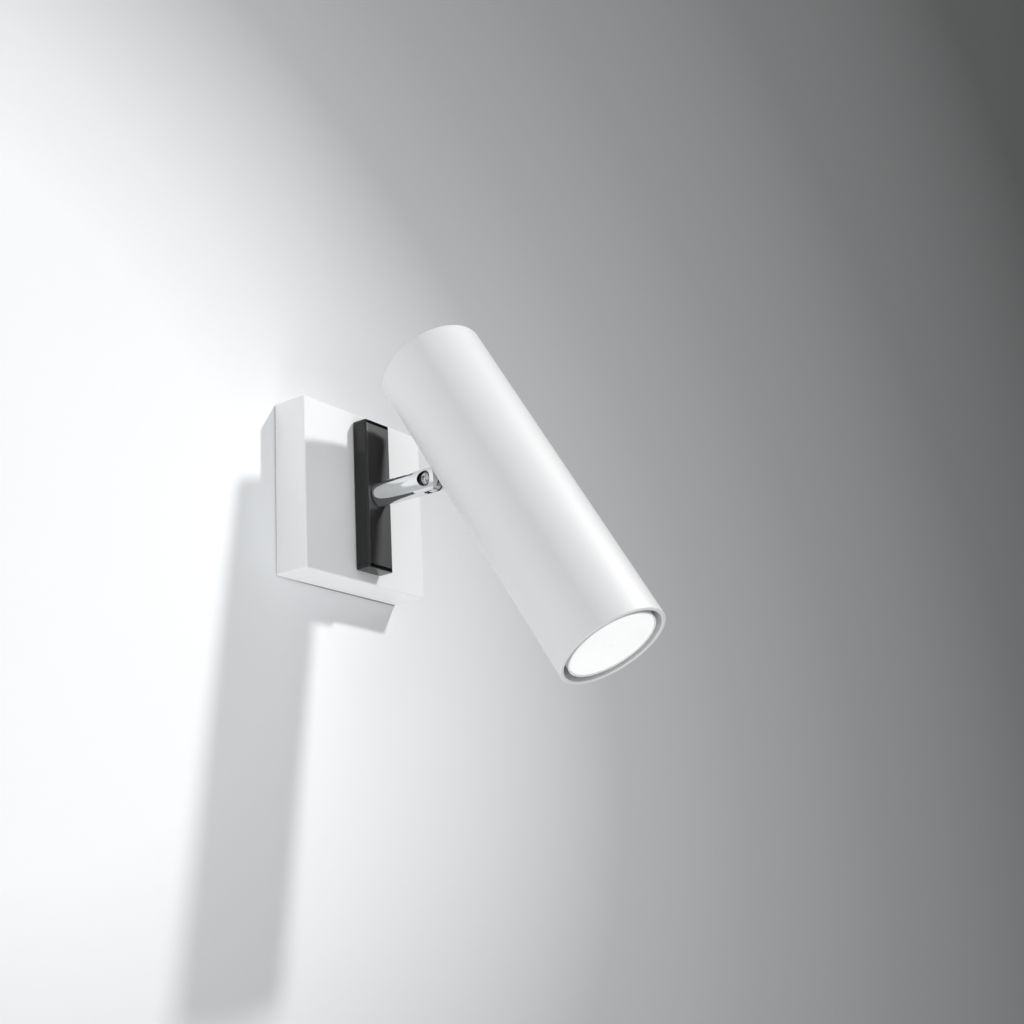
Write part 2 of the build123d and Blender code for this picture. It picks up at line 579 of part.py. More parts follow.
def lamp_housing():
    """Moulded shell: straight rim, curved bowl that narrows to the neck, two-prong base."""
    rim_r = LAMP_R - LAMP_RIM
    bowl_r, bowl_z = 16.0, LAMP_FACE + 30.0
    neck_z = LAMP_BACK - 6.5
    skirt_z = LAMP_FACE + 8.0
    outer = [Line((LAMP_R, 0, LAMP_FACE), (LAMP_R, 0, skirt_z)),
             ThreePointArc((LAMP_R, 0, skirt_z), (21.6, 0, skirt_z + 12.0), (bowl_r, 0, bowl_z)),
             Line((bowl_r, 0, bowl_z), (bowl_r - 1, 0, neck_z)),
             Line((bowl_r - 1, 0, neck_z), (LAMP_NECK_R, 0, neck_z + 1.2)),
             Line((LAMP_NECK_R, 0, neck_z + 1.2), (LAMP_NECK_R, 0, LAMP_BACK)),
             Line((LAMP_NECK_R, 0, LAMP_BACK), (0, 0, LAMP_BACK))]
    inner = [Line((0, 0, LAMP_BACK), (0, 0, LAMP_BACK - 3.2)),
             Line((0, 0, LAMP_BACK - 3.2), (LAMP_NECK_R - LAMP_WALL, 0, LAMP_BACK - 3.2)),
             Line((LAMP_NECK_R - LAMP_WALL, 0, LAMP_BACK - 3.2),
                  (bowl_r - LAMP_WALL, 0, bowl_z)),
             ThreePointArc((bowl_r - LAMP_WALL, 0, bowl_z), (20.0, 0, skirt_z + 11.0),
                           (rim_r - 1.6, 0, BOARD_BACK)),
             Line((rim_r - 1.6, 0, BOARD_BACK), (rim_r, 0, BOARD_BACK)),
             Line((rim_r, 0, BOARD_BACK), (rim_r, 0, LAMP_FACE)),
             Line((rim_r, 0, LAMP_FACE), (LAMP_R, 0, LAMP_FACE))]
    shell = revolve(make_face(Curve() + outer + inner), Axis.Z)
    base_flat = LAMP_NECK_R * 0.76
    for side in (-1, 1):
        shell -= block((-20, 20), (side * base_flat, side * 20), (neck_z + 1.2, LAMP_BACK + 1))
        shell -= rod_z(PRONG_R, LAMP_BACK - 3.2, LAMP_BACK, side * PRONG_X)
    return on_axis(shell)


def lamp_lens():
    """Frosted disc with a skirt that stands on the board."""
    edge = LAMP_R - LAMP_RIM - SNUG * 4
    lens = turned([(0, LAMP_FACE + 0.3), (edge, LAMP_FACE + 0.5), (edge, BOARD_FRONT),
                   (edge - 1.2, BOARD_FRONT), (edge - 1.2, LENS_BACK), (0, LENS_BACK)])
    return on_axis(lens)


def led_board():
    edge = LAMP_R - LAMP_RIM - SNUG * 4
    board = rod_z(edge, BOARD_FRONT, BOARD_BACK)
    for n in range(8):
        chip = Pos(14.0, 0, BOARD_FRONT - 0.4) * Box(3.0, 3.0, 0.8)
        board += Rot(0, 0, 45 * n) * chip
    return on_axis(board)


def lamp_pins():
    prong = turned([(0, LAMP_BACK - 3.2), (PRONG_R - SNUG, LAMP_BACK - 3.2),
                    (PRONG_R - SNUG, HEAD_START), (PRONG_HEAD_R, HEAD_START),
                    (PRONG_HEAD_R, PRONG_TIP - 0.6), (PRONG_HEAD_R - 0.6, PRONG_TIP),
                    (0, PRONG_TIP)])
    return [on_axis(Pos(x, 0, 0) * prong) for x in (-PRONG_X, PRONG_X)]


PIECES = {
    "mounting_plate": mounting_plate, "canopy": canopy, "canopy_screws": canopy_screws,
    "cable_bush": cable_bush, "terminal_block": terminal_block,
    "terminal_sleeves": terminal_sleeves, "terminal_screws": terminal_screws,
    "terminal_fixing_screw": terminal_fixing_screw, "earth_screw": earth_screw,
    "earth_washer": earth_washer, "bar_body": bar_body,
    "bar_cap_top": lambda: bar_cap(1), "bar_cap_bottom": lambda: bar_cap(-1),
    "bar_screws": bar_screws, "stop_pin": stop_pin, "friction_washer": friction_washer,
    "joint_stem": joint_stem, "stop_washer": stop_washer, "spring_washer": spring_washer,
    "stem_nut": stem_nut, "pivot_screw": pivot_screw, "pivot_washers": pivot_washers,
    "joint_tongue": joint_tongue, "lamp_tube": lamp_tube, "stud_washer": stud_washer,
    "stud_nut": stud_nut, "holder_bracket": holder_bracket, "holder_screws": holder_screws,
    "lamp_holder": lamp_holder, "holder_contacts": holder_contacts,
    "lamp_housing": lamp_housing, "lamp_lens": lamp_lens, "led_board": led_board,
    "lamp_pins": lamp_pins,
}


def report_joints():
    """Print where the joints are, in metres, for whoever writes them down."""
    pan, tilt = radians(HEAD_PAN), radians(HEAD_TILT)
    along = (cos(tilt) * sin(pan), -sin(tilt), -cos(tilt) * cos(pan))
    across = (-cos(pan), 0.0, -sin(pan))
    out = (-sin(tilt) * sin(pan), -cos(tilt), sin(tilt) * cos(pan))
    reach = TUBE_GAP + TUBE_R
    centre = [PIVOT_Y * (n == 1) + reach * out[n] + MOUTH_DROP * along[n] for n in range(3)]
    print("pin at y", PIVOT_Y, "tilt axis", [round(v, 6) for v in across])
    print("tube axis", [round(v, 6) for v in along], "mouth", [round(v, 3) for v in centre])
    print("stop pin meets the tab at", round(PAN_STOP, 2), "degrees each way")


os.makedirs("parts", exist_ok=True)
for name, make in PIECES.items():
    made = make()
    solids = made if isinstance(made, list) else [made]
    solids = [solid for shape in solids for solid in shape.solids()]
    whole = solids[0] if len(solids) == 1 else Compound(children=solids)
    export_step(whole, f"parts/{name}.step")
    print(f"{name:24s}{len(solids):3d} solids {sum(s.volume for s in solids):12.1f} mm3")
report_joints()
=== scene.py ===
# %% [markdown]
# # A pivoting spotlight wall light
#
# The real light is a square white box on a wall with a black bar across it. A short chrome barrel
# stands in the bar's middle and ends in a knuckle joint, and the joint carries a long white tube
# with a round lamp in its mouth. The engineering model already holds every piece in its true place,
# so this notebook loads it, gives each piece a finish, adds the small things that a solid modeller
# leaves out, and photographs the result in a plain pale studio.

# %% Load the frame
import bmesh
import bpy
import json
from math import cos, pi, radians, sin
from mathutils import Matrix, Vector


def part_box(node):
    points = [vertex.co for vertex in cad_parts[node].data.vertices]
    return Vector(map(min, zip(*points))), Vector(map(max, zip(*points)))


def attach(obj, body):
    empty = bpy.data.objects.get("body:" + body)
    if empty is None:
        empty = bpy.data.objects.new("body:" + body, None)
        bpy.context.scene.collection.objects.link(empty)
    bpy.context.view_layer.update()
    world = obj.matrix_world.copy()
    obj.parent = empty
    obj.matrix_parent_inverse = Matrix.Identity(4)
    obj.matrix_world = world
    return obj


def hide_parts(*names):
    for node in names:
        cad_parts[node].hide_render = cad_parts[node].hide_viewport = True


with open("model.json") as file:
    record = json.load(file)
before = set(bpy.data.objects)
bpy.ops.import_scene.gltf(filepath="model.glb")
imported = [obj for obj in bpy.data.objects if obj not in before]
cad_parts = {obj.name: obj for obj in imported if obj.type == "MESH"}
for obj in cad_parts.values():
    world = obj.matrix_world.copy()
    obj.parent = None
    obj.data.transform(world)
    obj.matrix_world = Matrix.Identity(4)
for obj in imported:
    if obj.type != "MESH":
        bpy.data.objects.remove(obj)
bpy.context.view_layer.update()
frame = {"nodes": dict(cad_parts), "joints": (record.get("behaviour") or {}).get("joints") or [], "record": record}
nodes = frame["nodes"]

# %% [markdown]
# ## Where things are
#
# Lengths are metres. The joints say where the pieces turn, so the tube's mouth and the direction
# in which it points are read from the lamp's own joint instead of being typed in again.

# %% Read the tube's mouth and axis from the joints
MM = 0.001
joint = {j["name"]: j for j in frame["joints"]}
mouth = Vector(joint["lamp_twist"]["pos_m"])
aim = Vector(joint["lamp_twist"]["axis"]).normalized()
pin = Vector(joint["head_tilt"]["pos_m"])
pin_axis = Vector(joint["head_tilt"]["axis"]).normalized()
canopy_low, canopy_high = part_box("canopy")
print("mouth at", [round(v, 4) for v in mouth], "pointing", [round(v, 3) for v in aim])

# %% [markdown]
# ## The camera
#
# The photograph was taken from low on the left, close to the wall, looking up and along it. A real
# camera has a place, a point that it looks at, a lens and a small lean to one side, so those four
# are what the camera is made from. The lean turns the picture about the line of sight.

# %% Place the camera
CAMERA_AT = Vector((-0.639843, -0.575403, -0.274411))
LOOKS_AT = Vector((0.030587, -0.100000, -0.018629))
LEAN = 3.195
SENSOR = 36.0
LENS = 55.59
NEAREST, FARTHEST = 0.01, 50.0


def new_object(name, data):
    """Object that holds this data, put in the scene."""
    made = bpy.data.objects.new(name, data)
    bpy.context.scene.collection.objects.link(made)
    return made


def mesh_object(name, points, faces):
    """Object whose mesh has these points and faces."""
    mesh = bpy.data.meshes.new(name)
    mesh.from_pydata(points, [], faces)
    return new_object(name, mesh)


def make_camera():
    data = bpy.data.cameras.new("camera")
    data.sensor_width, data.lens = SENSOR, LENS
    data.clip_start, data.clip_end = NEAREST, FARTHEST
    camera = new_object("camera", data)
    turn = (LOOKS_AT - CAMERA_AT).to_track_quat("-Z", "Y").to_matrix()
    turn = turn @ Matrix.Rotation(radians(-LEAN), 3, "Z")
    camera.matrix_world = Matrix.Translation(CAMERA_AT) @ turn.to_4x4()
    bpy.context.scene.camera = camera
    return camera


camera = make_camera()
print("camera right", [round(v, 4) for v in camera.matrix_world.to_3x3().col[0]])

# %% [markdown]
# ## Short ways to build a node tree
#
# Every finish below is a small graph of nodes, and so is every rule that makes a shape. The first
# helpers keep the graphs readable: one adds a node and sets its options, one joins an output to an
# input, and the next ones add the sums and ranges that come again and again. Another starts a
# material whose Principled shader has its plain numbers set on its own sockets.

# %% Node helpers
def add(tree, kind, inputs=None, **options):
    made = tree.nodes.new(kind)
    for name, value in options.items():
        setattr(made, name, value)
    for key, value in (inputs or {}).items():
        made.inputs[key].default_value = value
    return made


def join(tree, start, end):
    tree.links.new(start, end)


def feed(tree, socket, value):
    """Joins an output to the socket, or sets the socket to a plain value."""
    if isinstance(value, bpy.types.NodeSocket):
        join(tree, value, socket)
    else:
        socket.default_value = value


def maths(tree, operation, first, second):
    """Maths on two outputs or plain numbers."""
    made = add(tree, "ShaderNodeMath", operation=operation)
    feed(tree, made.inputs[0], first)
    feed(tree, made.inputs[1], second)
    return made.outputs["Value"]


def vector_maths(tree, operation, first, second=None, result="Vector"):
    """Vector maths on outputs or plain vectors; some kinds take only the first."""
    made = add(tree, "ShaderNodeVectorMath", operation=operation)
    feed(tree, made.inputs[0], first)
    if second is not None:
        feed(tree, made.inputs["Scale" if operation == "SCALE" else 1], second)
    return made.outputs[result]


def ranged(tree, value, low, high, to_low=0.0, to_high=1.0, **options):
    """Stretches low..high to to_low..to_high, and stays between those two."""
    made = add(tree, "ShaderNodeMapRange", {"From Min": low, "From Max": high,
                                            "To Min": to_low, "To Max": to_high}, **options)
    join(tree, value, made.inputs["Value"])
    return made.outputs["Result"]


def new_finish(name, colour, roughness, metallic=0.0, **sockets):
    made = bpy.data.materials.new(name)
    made.use_nodes = True
    made.diffuse_color = (*colour, 1.0)
    tree = made.node_tree
    shader = tree.nodes["Principled BSDF"]
    shader.inputs["Base Color"].default_value = (*colour, 1.0)
    shader.inputs["Roughness"].default_value = roughness
    shader.inputs["Metallic"].default_value = metallic
    for key, value in sockets.items():
        shader.inputs[key.replace("_", " ")].default_value = value
    return made, tree, shader


def new_group(name, inputs, outputs):
    """Shader node group whose inputs are plain numbers and whose outputs are patterns."""
    group = bpy.data.node_groups.new(name, "ShaderNodeTree")
    for title, value in inputs.items():
        socket = group.interface.new_socket(title, in_out="INPUT", socket_type="NodeSocketFloat")
        socket.default_value = value
    for title in outputs:
        group.interface.new_socket(title, in_out="OUTPUT", socket_type="NodeSocketFloat")
    return group, group.nodes.new("NodeGroupInput"), group.nodes.new("NodeGroupOutput")


def use_group(tree, group, **inputs):
    made = add(tree, "ShaderNodeGroup", node_tree=group)
    for key, value in inputs.items():
        made.inputs[key.replace("_", " ")].default_value = value
    return made


print("helpers ready")

# %% [markdown]
# ## Effects that several finishes share
#
# Powder paint is never quite smooth: it dries with a fine orange peel. Drawn or turned metal keeps
# fine lines from the tool. Handled edges lose a little of their colour, and dust settles on what
# faces up. Each effect is a node group with its own sizes, so one recipe serves many materials.

# %% Group: orange peel of sprayed paint
def make_peel():
    """Height of the paint's skin, and a faint cloud that lightens and darkens the colour."""
    group, inside, outside = new_group(
        "paint_peel", {"Peel Size": 900.0, "Cloud Size": 14.0},
        ("Height", "Cloud"))
    place = add(group, "ShaderNodeTexCoord")
    peel = add(group, "ShaderNodeTexNoise", {"Detail": 2.0, "Roughness": 0.4})
    cloud = add(group, "ShaderNodeTexNoise", {"Detail": 3.0, "Roughness": 0.55})
    join(group, place.outputs["Object"], peel.inputs["Vector"])
    join(group, place.outputs["Object"], cloud.inputs["Vector"])
    join(group, inside.outputs["Peel Size"], peel.inputs["Scale"])
    join(group, inside.outputs["Cloud Size"], cloud.inputs["Scale"])
    join(group, peel.outputs["Fac"], outside.inputs["Height"])
    join(group, cloud.outputs["Fac"], outside.inputs["Cloud"])
    return group


peel_group = make_peel()


# %% Group: fine lines left by a tool
def make_grain():
    """Noise squeezed along one axis, so that it becomes lines across it."""
    group, inside, outside = new_group(
        "tool_lines", {"Along X": 1.0, "Along Y": 1.0, "Along Z": 1.0, "Fineness": 1500.0},
        ("Height", "Tone"))
    place = add(group, "ShaderNodeTexCoord")
    squeeze = add(group, "ShaderNodeCombineXYZ")
    for axis in "XYZ":
        join(group, inside.outputs[f"Along {axis}"], squeeze.inputs[axis])
    squeezed = vector_maths(group, "MULTIPLY", place.outputs["Object"], squeeze.outputs["Vector"])
    lines = add(group, "ShaderNodeTexNoise", {"Detail": 4.0, "Roughness": 0.6})
    join(group, squeezed, lines.inputs["Vector"])
    join(group, inside.outputs["Fineness"], lines.inputs["Scale"])
    broad = add(group, "ShaderNodeTexNoise", {"Scale": 60.0, "Detail": 3.0})
    join(group, place.outputs["Object"], broad.inputs["Vector"])
    join(group, lines.outputs["Fac"], outside.inputs["Height"])
    join(group, broad.outputs["Fac"], outside.inputs["Tone"])
    return group


grain_group = make_grain()


# %% Group: worn edges
EDGE_STARTS, EDGE_FULL = 0.995, 0.90    # cosine between the flat normal and the rounded one
PATCH_LOW, PATCH_HIGH = 0.45, 0.62      # noise below and above which wear is absent and full


def make_wear():
    """Mask that is white on outer edges, broken up by noise."""
    group, inside, outside = new_group(
        "edge_wear", {"Width": 0.0004, "Breakup": 700.0, "Amount": 1.0}, ("Mask",))
    rounded = add(group, "ShaderNodeBevel", samples=6)
    join(group, inside.outputs["Width"], rounded.inputs["Radius"])
    flat = add(group, "ShaderNodeNewGeometry")
    alike = vector_maths(group, "DOT_PRODUCT", rounded.outputs["Normal"],
                         flat.outputs["Normal"], "Value")
    edge = ranged(group, alike, EDGE_STARTS, EDGE_FULL)
    place = add(group, "ShaderNodeTexCoord")
    noise = add(group, "ShaderNodeTexNoise", {"Detail": 4.0})
    join(group, place.outputs["Object"], noise.inputs["Vector"])
    join(group, inside.outputs["Breakup"], noise.inputs["Scale"])
    patchy = ranged(group, noise.outputs["Fac"], PATCH_LOW, PATCH_HIGH)
    both = maths(group, "MULTIPLY", edge, patchy)
    join(group, maths(group, "MULTIPLY", both, inside.outputs["Amount"]), outside.inputs["Mask"])
    return group


wear_group = make_wear()


# %% Group: dust on what faces up
UP_STARTS, UP_FULL = 0.5, 1.0           # how far a face's normal points up


def make_dust():
    """Mask of the dust that settles on upward faces."""
    group, inside, outside = new_group(
        "settled_dust", {"Speck Size": 1200.0, "Amount": 1.0}, ("Mask",))
    shape = add(group, "ShaderNodeNewGeometry")
    parts = add(group, "ShaderNodeSeparateXYZ")
    join(group, shape.outputs["Normal"], parts.inputs["Vector"])
    up = ranged(group, parts.outputs["Z"], UP_STARTS, UP_FULL)
    place = add(group, "ShaderNodeTexCoord")
    specks = add(group, "ShaderNodeTexNoise", {"Detail": 5.0, "Roughness": 0.7})
    join(group, place.outputs["Object"], specks.inputs["Vector"])
    join(group, inside.outputs["Speck Size"], specks.inputs["Scale"])
    both = maths(group, "MULTIPLY", up, specks.outputs["Fac"])
    join(group, maths(group, "MULTIPLY", both, inside.outputs["Amount"]), outside.inputs["Mask"])
    return group


dust_group = make_dust()
print("effects ready:", [g.name for g in (peel_group, grain_group, wear_group, dust_group)])

# %% [markdown]
# ## Paint
#
# The box and the tube are both a near white. Each one's colour is a mix between two near tones,
# led by the cloud, and its skin is a bump led by the peel. Dust is mixed in last. The tube also has
# a strong clear coat, rough enough to give the wide soft highlight that runs down the real one. The
# black bar has a satin stoved finish, whose wide soft highlight lets the tube's shadow be seen on
# its front. Its two end caps are glossy mouldings, so they stay darker than the bar and sparkle at
# the corners.

# %% Helpers that turn a pattern into a finish
NOISE_LOW, NOISE_HIGH = 0.3, 0.7        # a noise hardly leaves this range


def toned(colour, share):
    """The same colour darker or lighter, and never past white."""
    return tuple(min(1.0, share * v) for v in colour)


def two_tones(tree, shader, fac, first, second):
    """Colour that moves between two tones as a pattern goes from low to high."""
    ramp = add(tree, "ShaderNodeValToRGB")
    ends = ramp.color_ramp.elements
    ends[0].position, ends[1].position = NOISE_LOW, NOISE_HIGH
    ends[0].color, ends[1].color = (*first, 1.0), (*second, 1.0)
    join(tree, fac, ramp.inputs["Fac"])
    join(tree, ramp.outputs["Color"], shader.inputs["Base Color"])


def varied_roughness(tree, shader, fac, low, high):
    join(tree, ranged(tree, fac, NOISE_LOW, NOISE_HIGH, low, high), shader.inputs["Roughness"])


def bumped(tree, shader, height, strength, distance):
    bump = add(tree, "ShaderNodeBump", {"Strength": strength, "Distance": distance})
    join(tree, height, bump.inputs["Height"])
    join(tree, bump.outputs["Normal"], shader.inputs["Normal"])


def blend_colour(tree, shader, mask, colour):
    """Lay a flat colour over whatever already feeds Base Color, where the mask is white."""
    mix = add(tree, "ShaderNodeMix", data_type="RGBA")
    below = shader.inputs["Base Color"].links[0].from_socket
    join(tree, mask, mix.inputs["Factor"])
    join(tree, below, mix.inputs[6])
    mix.inputs[7].default_value = (*colour, 1.0)
    join(tree, mix.outputs[2], shader.inputs["Base Color"])


print("pattern helpers ready")


# %% Painted finishes
WHITE_CLOUD, BLACK_CLOUD = 0.975, 1.4   # what the cloud does to the tone at its strongest
DUST_AMOUNT, DUST_TONE = 0.10, (0.62, 0.61, 0.58)
WORN_AMOUNT, WORN_TONE = 0.12, (0.10, 0.10, 0.105)
STRONG_COAT_IOR = 2.1
TUBE_COAT_ROUGHNESS, BAR_COAT_ROUGHNESS = 0.62, 0.46
FRONT_STARTS, FRONT_FULL = -0.90, -0.99     # how far a face's normal points out along Y


def white_paint(name, tone, roughness, **sockets):
    made, tree, shader = new_finish(name, tone, roughness, **sockets)
    skin = use_group(tree, peel_group, Peel_Size=850.0, Cloud_Size=11.0)
    two_tones(tree, shader, skin.outputs["Cloud"], toned(tone, WHITE_CLOUD), tone)
    varied_roughness(tree, shader, skin.outputs["Cloud"], roughness - 0.03, roughness + 0.03)
    bumped(tree, shader, skin.outputs["Height"], strength=0.10, distance=0.00012)
    dust = use_group(tree, dust_group, Amount=DUST_AMOUNT)
    blend_colour(tree, shader, dust.outputs["Mask"], DUST_TONE)
    return made


def black_finish(name, tone, roughness, bump, **sockets):
    made, tree, shader = new_finish(name, tone, roughness, **sockets)
    skin = use_group(tree, peel_group, Peel_Size=900.0, Cloud_Size=25.0)
    two_tones(tree, shader, skin.outputs["Cloud"], tone, toned(tone, BLACK_CLOUD))
    varied_roughness(tree, shader, skin.outputs["Cloud"], roughness - 0.02, roughness + 0.03)
    bumped(tree, shader, skin.outputs["Height"], bump, distance=0.00006)
    wear = use_group(tree, wear_group, Amount=WORN_AMOUNT, Width=0.00025)
    blend_colour(tree, shader, wear.outputs["Mask"], WORN_TONE)
    return made


def satin_front(made):
    """Wide soft highlight on the face that looks away from the wall, which is rubbed to satin."""
    tree = made.node_tree
    shader = tree.nodes["Principled BSDF"]
    shape = add(tree, "ShaderNodeNewGeometry")
    parts = add(tree, "ShaderNodeSeparateXYZ")
    join(tree, shape.outputs["Normal"], parts.inputs["Vector"])
    front = ranged(tree, parts.outputs["Y"], FRONT_STARTS, FRONT_FULL)
    join(tree, front, shader.inputs["Coat Weight"])
    shader.inputs["Coat Roughness"].default_value = BAR_COAT_ROUGHNESS
    shader.inputs["Coat IOR"].default_value = STRONG_COAT_IOR


box_paint = white_paint("satin_white_box", (0.865, 0.87, 0.873), 0.42, Specular_IOR_Level=0.45)
tube_paint = white_paint("satin_white_tube", (0.78, 0.784, 0.788), 0.50, Coat_Weight=1.0,
                         Coat_Roughness=TUBE_COAT_ROUGHNESS, Coat_IOR=STRONG_COAT_IOR)
bar_enamel = black_finish("stoved_black", (0.004, 0.004, 0.0045), 0.305, bump=0.05, IOR=1.5)
satin_front(bar_enamel)
cap_black = black_finish("moulded_black", (0.005, 0.005, 0.006), 0.14, bump=0.03, IOR=1.5)
print("paint ready")

# %% [markdown]
# ## Bare metal
#
# The barrel and the tongue of the joint are polished and chrome plated, so they hardly have a
# colour of their own and show the studio instead. The pivot screw between them is polished steel, a
# little greyer, and the narrow ring round its head is darkened, because hardly any light gets in
# there. The hidden hardware is zinc plated or brass, with the lines of the tool that cut it.

# %% Metal finishes
METAL_CLOUD, METAL_EDGE = 0.88, 1.12    # shares of the tone, in dull patches and on worn edges
SMOOTHER, ROUGHER = 0.8, 1.25           # shares of the roughness, along the tool's lines
# the ring of painted shade round the pivot screw's head, where hardly any light gets in
SINK_INNER, SINK_OUTER = 3.75 * MM, 4.35 * MM
SINK_FADE_IN, SINK_FADE_OUT = 0.05 * MM, 0.1 * MM
SINK_EAR = 4.0 * MM                     # the ear with the sink is past this, along the pin
SINK_SHADE_TONE = (0.14, 0.14, 0.14)


def tooled_metal(name, tone, roughness, along=(1.0, 0.05, 1.0), fineness=1500.0, depth=0.10):
    made, tree, shader = new_finish(name, tone, roughness, metallic=1.0)
    lines = use_group(tree, grain_group, Along_X=along[0], Along_Y=along[1], Along_Z=along[2],
                      Fineness=fineness)
    two_tones(tree, shader, lines.outputs["Tone"], toned(tone, METAL_CLOUD), tone)
    varied_roughness(tree, shader, lines.outputs["Height"],
                     roughness * SMOOTHER, roughness * ROUGHER)
    bumped(tree, shader, lines.outputs["Height"], depth, distance=0.00005)
    wear = use_group(tree, wear_group, Amount=0.5, Width=0.0003)
    blend_colour(tree, shader, wear.outputs["Mask"], toned(tone, METAL_EDGE))
    return made


def sink_shade_paint(made):
    """Paints shade on the narrow ring round the pivot screw's head, found by its distance from the pin."""
    tree = made.node_tree
    place = add(tree, "ShaderNodeTexCoord")
    from_pin = vector_maths(tree, "SUBTRACT", place.outputs["Object"], pin)
    across = vector_maths(tree, "CROSS_PRODUCT", from_pin, pin_axis)
    reach = vector_maths(tree, "LENGTH", across, result="Value")
    past = ranged(tree, reach, SINK_INNER - SINK_FADE_IN, SINK_INNER)
    before = ranged(tree, reach, SINK_OUTER + SINK_FADE_OUT, SINK_OUTER)
    along = vector_maths(tree, "DOT_PRODUCT", from_pin, pin_axis, "Value")
    ear = maths(tree, "GREATER_THAN", along, SINK_EAR)
    mask = maths(tree, "MULTIPLY", maths(tree, "MULTIPLY", past, before), ear)
    blend_colour(tree, tree.nodes["Principled BSDF"], mask, SINK_SHADE_TONE)


chrome_with_sink_shade = tooled_metal("polished_chrome_with_sink_shade", (0.82, 0.83, 0.84), 0.06, depth=0.015)
sink_shade_paint(chrome_with_sink_shade)
pivot_polish = tooled_metal("polished_pivot_screw", (0.55, 0.56, 0.57), 0.10, depth=0.01)
zinc_plate = tooled_metal("zinc_plate", (0.60, 0.61, 0.60), 0.36, along=(0.08, 1.0, 1.0))
screw_plate = tooled_metal("bright_screw", (0.62, 0.63, 0.64), 0.22, along=(1.0, 1.0, 1.0))
brass_metal = tooled_metal("turned_brass", (0.80, 0.58, 0.26), 0.28, along=(1.0, 1.0, 0.1))
print("metal ready")

# %% [markdown]
# ## Mouldings, ceramic, rubber and the lamp
#
# Plastic takes a faint mottle and a soft gloss. The lamp's face is frosted and lit from behind by
# its own small board, so it gives off a little light of its own: the emission is even, and the
# frost only changes the gloss.

# %% Moulded, fired and frosted finishes
MOULD_CLOUD, LENS_GLOW = 0.94, 0.26


def moulded(name, tone, roughness, depth=0.08, grain=700.0, **sockets):
    made, tree, shader = new_finish(name, tone, roughness, **sockets)
    skin = use_group(tree, peel_group, Peel_Size=grain, Cloud_Size=30.0)
    two_tones(tree, shader, skin.outputs["Cloud"], toned(tone, MOULD_CLOUD), tone)
    varied_roughness(tree, shader, skin.outputs["Cloud"], roughness - 0.05, roughness + 0.05)
    bumped(tree, shader, skin.outputs["Height"], depth, distance=0.0001)
    return made


white_nylon = moulded("white_nylon", (0.74, 0.73, 0.69), 0.55)
black_rubber = moulded("black_rubber", (0.018, 0.018, 0.018), 0.75, depth=0.2)
glazed_ceramic = moulded("glazed_ceramic", (0.80, 0.77, 0.69), 0.22, depth=0.05, grain=300.0,
                         Coat_Weight=0.5, Coat_Roughness=0.08)
lamp_moulding = moulded("lamp_moulding", (0.86, 0.86, 0.86), 0.45)
board_lacquer = moulded("board_lacquer", (0.84, 0.84, 0.82), 0.40)
lens_frost = moulded("frosted_lens", (0.90, 0.90, 0.90), 0.50, depth=0.12, grain=2600.0,
                     Emission_Color=(1.0, 1.0, 1.0, 1.0), Emission_Strength=LENS_GLOW)
print("mouldings ready")

# %% [markdown]
# ## Dress the pieces
#
# Each node of the model carries the name of a material slot in its record. One table from slot to
# finish dresses every node. The pivot screw then changes its finish, because it is more polished
# than the other screws.

# %% Put each finish on the nodes of its slot
FINISH_OF_SLOT = {
    "zinc_steel": zinc_plate, "screw_steel": screw_plate, "white_paint": box_paint,
    "white_tube_paint": tube_paint, "black_enamel": bar_enamel, "black_plastic": cap_black,
    "chrome": chrome_with_sink_shade, "brass": brass_metal, "black_rubber": black_rubber,
    "white_nylon": white_nylon, "ceramic": glazed_ceramic, "lamp_shell": lamp_moulding,
    "frosted_lens": lens_frost, "white_board": board_lacquer,
}
slot_of_node = {s["node"]: s["material_slot"] for s in frame["record"]["subparts"]}
for name, piece in nodes.items():
    for slot in piece.material_slots:
        slot.material = FINISH_OF_SLOT[slot_of_node[name]]
nodes["pivot_screw"].material_slots[0].material = pivot_polish
print("dressed", len(nodes), "nodes in", len(FINISH_OF_SLOT), "finishes")

# %% [markdown]
# ## Screw threads
#
# The model's screws are plain rods, because a thread is too fine for a solid modeller's mesh. On
# the real ones a ridge winds round a thinner core. A thread is one shape that follows a rule, so
# Geometry Nodes make it: one tree thins the rod and sweeps a small section along a helix, and
# every screw gives the tree its own foot, direction, radius, pitch and length.

# %% Helpers for shape trees
SAME_POINT = 0.001 * MM                 # points nearer than this are one point


def shape_group(name, sockets):
    """Geometry group with a Geometry input and output and named inputs."""
    tree = bpy.data.node_groups.new(name, "GeometryNodeTree")
    tree.interface.new_socket("Geometry", in_out="INPUT", socket_type="NodeSocketGeometry")
    for title, kind in sockets.items():
        tree.interface.new_socket(title, in_out="INPUT", socket_type="NodeSocket" + kind)
    tree.interface.new_socket("Geometry", in_out="OUTPUT", socket_type="NodeSocketGeometry")
    return tree, tree.nodes.new("NodeGroupInput"), tree.nodes.new("NodeGroupOutput")


def stood_along(tree, geometry, foot, along):
    """Turns a shape that stands along Z to stand along another way, and moves it to its foot."""
    turn = add(tree, "FunctionNodeAlignRotationToVector", axis="Z")
    join(tree, along, turn.inputs["Vector"])
    placed = add(tree, "GeometryNodeTransform")
    join(tree, geometry, placed.inputs["Geometry"])
    join(tree, foot, placed.inputs["Translation"])
    join(tree, turn.outputs["Rotation"], placed.inputs["Rotation"])
    return placed.outputs["Geometry"]


def close_tree(tree, geometry, inside, outside):
    """Every tree ends in Realize Instances and Set Material."""
    real = add(tree, "GeometryNodeRealizeInstances")
    finish = add(tree, "GeometryNodeSetMaterial")
    join(tree, geometry, real.inputs["Geometry"])
    join(tree, real.outputs["Geometry"], finish.inputs["Geometry"])
    join(tree, inside.outputs["Material"], finish.inputs["Material"])
    join(tree, finish.outputs["Geometry"], outside.inputs["Geometry"])


